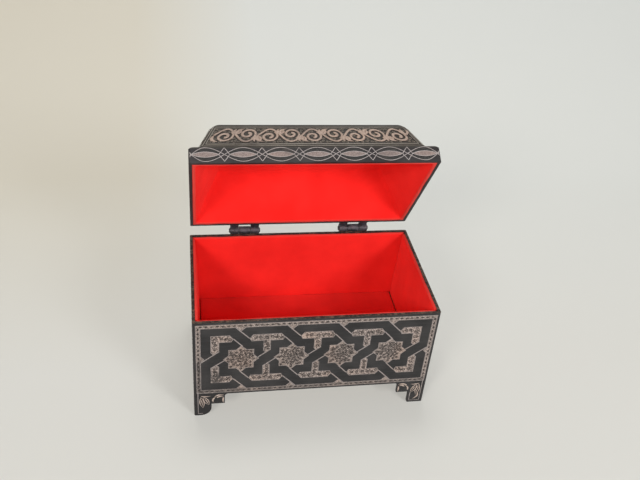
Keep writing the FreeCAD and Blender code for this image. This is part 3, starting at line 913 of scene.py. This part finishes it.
def ornamentTop():  # two vines back to back in a double frame
    rules = topOrnament
    low, high = shutBox("lid_top_panel")
    half = (high.x - low.x) / 2 / mm
    deep = (high.y - low.y) / 2 / mm
    place = onTop()
    lines = []
    for frameIn in rules["frameIn"]:
        u, v = half - frameIn, deep - frameIn
        lines.append(even([(-u, -v), (u, -v), (u, v), (-u, v), (-u, -v)], rules["line"]))
    lay("lidTopLines", lines, place, rules["lineRise"], "frameLine", "lid", roundness=0)
    field, end = half - rules["fieldIn"], deep - rules["fieldIn"]
    front = scrollVine(field, rules["gap"], end)
    ribbons = front + [[(-u, -v, wide) for u, v, wide in ribbon] for ribbon in front]
    curls = fillCurls(ribbons, field + rules["spill"], -end, end, "top")
    lay("lidTopScrolls", ribbons, place, rules["scrollRise"], "ornament", "lid")
    lay("lidTopCurls", curls, place, rules["curlRise"], "tendril", "lid", roundness=0)


for side in sideTurn:
    guillocheBand(side)
    ornamentCove(side)
ornamentTop()
print("lid bands and coves done")


# Felt linings

felt = dict(voxel=1.15, smooth=4, ease=0.5, lump=0.22, lumpSize=14.0, sink=0.6, edgeFrom=0.6, edgeDepth=0.7,
            lift=0.65, lidLift=0.5, wave=22.0, spread=1.3,
            lap={"lid_top_lining": (1.018, 1.036, -0.4), "floor_lining": (1.0, 1.016, 0)})


def feltLining(name, lined, body, turn, isEdge, lift):
    bm = bmesh.new()
    for node in lined:
        part = nodes[node].data.copy()
        part.transform(turn.inverted())
        if node in felt["lap"]:  # the ceiling and the floor lap against the walls
            wide, deep, shift = felt["lap"][node]
            part.transform(Matrix.Diagonal((wide, deep, 1, 1)))
            part.transform(Matrix.Translation((0, 0, shift * mm)))
        bm.from_mesh(part)
        bpy.data.meshes.remove(part)
    bmesh.ops.remove_doubles(bm, verts=bm.verts, dist=nodeWeld)
    mesh = bpy.data.meshes.new(name)
    bm.to_mesh(mesh)
    bm.free()
    maker = bpy.data.objects.new(name, mesh)
    bpy.context.scene.collection.objects.link(maker)
    soften = maker.modifiers.new("soften", "REMESH")
    soften.mode = "VOXEL"
    soften.voxel_size = felt["voxel"] * mm
    smooth = maker.modifiers.new("smooth", "SMOOTH")
    smooth.iterations = felt["smooth"]
    smooth.factor = felt["ease"]
    mesh = asMesh(maker)
    mesh.name = name
    edge = mesh.attributes.new("edge", "FLOAT", "POINT")
    lumps = [v.normal * (noise.noise(v.co / (felt["lumpSize"] * mm)) - felt["sink"]) for v in mesh.vertices]
    for i, vertex in enumerate(mesh.vertices):
        edge.data[i].value = isEdge(vertex.co)  # the cut edge wanders below the rim and spreads over it
        vertex.co += lumps[i] * felt["lump"] * mm
        wave = 1 - abs(noise.noise(vertex.co / (felt["wave"] * mm)))
        vertex.co.z += edge.data[i].value * lift * wave * mm
        if lumps[i].xy.dot(vertex.co.xy) < 0:
            vertex.co.xy += vertex.co.xy.normalized() * edge.data[i].value * felt["spread"] * mm
    mesh.transform(turn)
    for face in mesh.polygons:
        face.use_smooth = True
    piece = addPiece(name, mesh, "floorFelt" if name == "floorFelt" else "felt", body)
    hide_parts(*lined)


def nearRim(point, level):  # 1 at the cut edge, fading to 0 along the felt
    return max(0.0, min(1.0, 1 - (abs(point.z - level) / mm - felt["edgeFrom"]) / felt["edgeDepth"]))


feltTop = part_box("front_lining")[1].z
for side in sideTurn:
    feltLining(side + "Felt", [side + "_lining"], "case", Matrix.Identity(4),
               lambda p: nearRim(p, feltTop), felt["lift"])
feltLining("floorFelt", ["floor_lining"], "case", Matrix.Identity(4), lambda p: 0.0, 0)
feltLining("lidFelt", ["lid_" + side + "_lining" for side in sideTurn] + ["lid_top_lining"], "lid", openTurn,
           lambda p: nearRim(p, bandLow), -felt["lidLift"])
print("felt done")


# Stage: floor sweep, lights, camera

stage = dict(
    front=2, depth=0.75, side=3.0, height=2.2, curve=0.5, segments=24, roughness=0.9, specular=0.15,
    # the warm tones are painted warm shade on the left of the backdrop and of the floor far behind the box
    floorTone=(216, 215, 209), warmShadeTone=(186, 181, 168), coolTone=(191, 192, 189), tonePlaces=(0.0, 0.6),
    floorSeen=(209, 208, 203), warmShadeSeen=(206, 196, 174), coolSeen=(216, 219, 216), seenPlaces=(0.28, 0.5),
    glow=0.5, acrossFrom=(-0.35, 0.35), upFrom=(0.0, 0.3), farFrom=(0.0, 0.3), near=1e-4,
)


def seenRays(tree):  # 1 where a ray comes from the camera, a mirror or glass
    path = tree.nodes.new("ShaderNodeLightPath")
    either = path.outputs["Is Camera Ray"]
    for ray in ("Is Glossy Ray", "Is Transmission Ray"):
        most = tree.nodes.new("ShaderNodeMath")
        most.operation = "MAXIMUM"
        tree.links.new(either, most.inputs[0])
        tree.links.new(path.outputs[ray], most.inputs[1])
        either = most.outputs["Value"]
    return either


def paleGlow(tree, shader, tone):  # part of the paper's tone shows whatever the shadow
    glow = tree.nodes.new("ShaderNodeEmission")
    tree.links.new(tone, glow.inputs["Color"])
    share = tree.nodes.new("ShaderNodeMath")
    share.operation = "MULTIPLY"
    tree.links.new(seenRays(tree), share.inputs[0])
    share.inputs[1].default_value = stage["glow"]
    both = tree.nodes.new("ShaderNodeMixShader")
    tree.links.new(share.outputs["Value"], both.inputs[0])
    tree.links.new(shader.outputs["BSDF"], both.inputs[1])
    tree.links.new(glow.outputs["Emission"], both.inputs[2])
    tree.links.new(both.outputs["Shader"], tree.nodes["Material Output"].inputs["Surface"])


def between(tree, value, ends):  # 0 to 1 between two ends
    node = tree.nodes.new("ShaderNodeMapRange")
    node.inputs["From Min"].default_value, node.inputs["From Max"].default_value = ends
    tree.links.new(value, node.inputs["Value"])
    return node.outputs["Result"]


def palePaper():  # the floor's tone near by, and a backdrop behind that runs from a painted warm shade on the left to cool
    made, tree, shader = startMaterial("palePaper", stage["roughness"], specular=stage["specular"])
    coords = tree.nodes.new("ShaderNodeTexCoord")
    split = tree.nodes.new("ShaderNodeSeparateXYZ")
    tree.links.new(coords.outputs["Object"], split.inputs["Vector"])
    across = between(tree, split.outputs["X"], stage["acrossFrom"])
    up = between(tree, split.outputs["Z"], stage["upFrom"])
    far = between(tree, split.outputs["Y"], stage["farFrom"])
    # the warm end of each ramp is painted warm shade, on the left
    wall = ramp(tree, across, *zip(stage["tonePlaces"], (stage["warmShadeTone"], stage["coolTone"])))
    wallSeen = ramp(tree, across, *zip(stage["seenPlaces"], (stage["warmShadeSeen"], stage["coolSeen"])))
    tree.links.new(blendColours(tree, up, stage["floorTone"], wall), shader.inputs["Base Color"])
    paleGlow(tree, shader, blendColours(tree, far, stage["floorSeen"], wallSeen))
    return made


def sweep():
    depth, near = stage["depth"], stage["near"]
    bm = bmesh.new()
    bmesh.ops.create_grid(bm, x_segments=1, y_segments=1, size=1)
    bmesh.ops.scale(bm, vec=(stage["side"], (depth + stage["front"]) / 2, 1), verts=bm.verts)
    bmesh.ops.translate(bm, vec=(0, depth - (depth + stage["front"]) / 2, 0), verts=bm.verts)
    back = [e for e in bm.edges if all(v.co.y > depth - near for v in e.verts)]
    raised = bmesh.ops.extrude_edge_only(bm, edges=back)["geom"]
    upper = [g for g in raised if isinstance(g, bmesh.types.BMVert)]
    bmesh.ops.translate(bm, vec=(0, 0, stage["height"]), verts=upper)
    crease = [e for e in bm.edges if all(abs(v.co.y - depth) < near and v.co.z < near for v in e.verts)]
    bmesh.ops.bevel(bm, geom=crease, affect="EDGES", offset=stage["curve"], segments=stage["segments"],
                    profile=0.5, material=-1)
    bmesh.ops.recalc_face_normals(bm, faces=bm.faces)
    mesh = bpy.data.meshes.new("floorSweep")
    bm.to_mesh(mesh)
    bm.free()
    for face in mesh.polygons:
        face.use_smooth = True
    mesh.materials.append(palePaper())
    floor = bpy.data.objects.new("floorSweep", mesh)
    bpy.context.scene.collection.objects.link(floor)


lamps = dict(  # place, aim, size, watts, colour
    leftLamp=((-0.8, -1.15, 0.95), (0, 0, 0.09), 0.45, 11.8, (1.0, 0.965, 0.91)),
    rightLamp=((0.8, -1.15, 0.84), (0, 0, 0.09), 0.45, 11.9, (0.97, 0.985, 1.0)),
    lowLamp=((1.05, -1.05, 0.24), (0, 0, 0.12), 0.7, 3.6, (1.0, 0.99, 0.97)),
    backLamp=((0, 0.45, 1.5), (0, 0.4, 0), 0.6, 9, (1.0, 0.99, 0.97)),
)


def softLamp(name, place, aim, size, energy, colour):
    lamp = bpy.data.lights.new(name, "AREA")
    lamp.shape = "DISK"
    lamp.size = size
    lamp.energy = energy
    lamp.color = colour
    holder = bpy.data.objects.new(name, lamp)
    turn = (Vector(aim) - Vector(place)).to_track_quat("-Z", "Y").to_matrix().to_4x4()
    holder.matrix_world = Matrix.Translation(place) @ turn
    bpy.context.scene.collection.objects.link(holder)


sweep()
for name, settings in lamps.items():
    softLamp(name, *settings)

studio = dict(light=(0.9, 0.9, 0.9, 1), strength=0.22, backdrop=(0.72, 0.71, 0.67, 1))


def studioWorld():  # dim grey light, but a pale backdrop where it is seen or mirrored
    world = bpy.data.worlds.new("studio")
    bpy.context.scene.world = world
    world.use_nodes = True
    tree = world.node_tree
    light = tree.nodes["Background"]
    light.inputs["Color"].default_value = studio["light"]
    light.inputs["Strength"].default_value = studio["strength"]
    seen = tree.nodes.new("ShaderNodeBackground")
    seen.inputs["Color"].default_value = studio["backdrop"]
    choose = tree.nodes.new("ShaderNodeMixShader")
    tree.links.new(seenRays(tree), choose.inputs[0])
    tree.links.new(light.outputs["Background"], choose.inputs[1])
    tree.links.new(seen.outputs["Background"], choose.inputs[2])
    tree.links.new(choose.outputs["Shader"], tree.nodes["World Output"].inputs["Surface"])


studioWorld()

viewpoint = dict(place=(-0.0887, -0.4453, 0.4428), yaw=0.209, pitch=0.612, roll=0.095, focalPixels=745,
                 frameWidth=640, sensor=36)


def setCamera():
    yaw, pitch, roll = viewpoint["yaw"], viewpoint["pitch"], viewpoint["roll"]
    forward = Vector((math.sin(yaw) * math.cos(pitch), math.cos(yaw) * math.cos(pitch), -math.sin(pitch)))
    right = Vector((math.cos(yaw), -math.sin(yaw), 0))
    up = right.cross(forward)
    right, up = (right * math.cos(roll) + up * math.sin(roll), up * math.cos(roll) - right * math.sin(roll))
    lens = bpy.data.cameras.new("photoView")
    lens.sensor_width = viewpoint["sensor"]
    lens.lens = viewpoint["focalPixels"] / viewpoint["frameWidth"] * lens.sensor_width
    holder = bpy.data.objects.new("photoView", lens)
    turn = Matrix((right, up, -forward)).transposed().to_4x4()
    holder.matrix_world = Matrix.Translation(viewpoint["place"]) @ turn
    bpy.context.scene.collection.objects.link(holder)
    bpy.context.scene.camera = holder


setCamera()
bpy.context.scene.view_settings.view_transform = "Standard"
print("stage set")
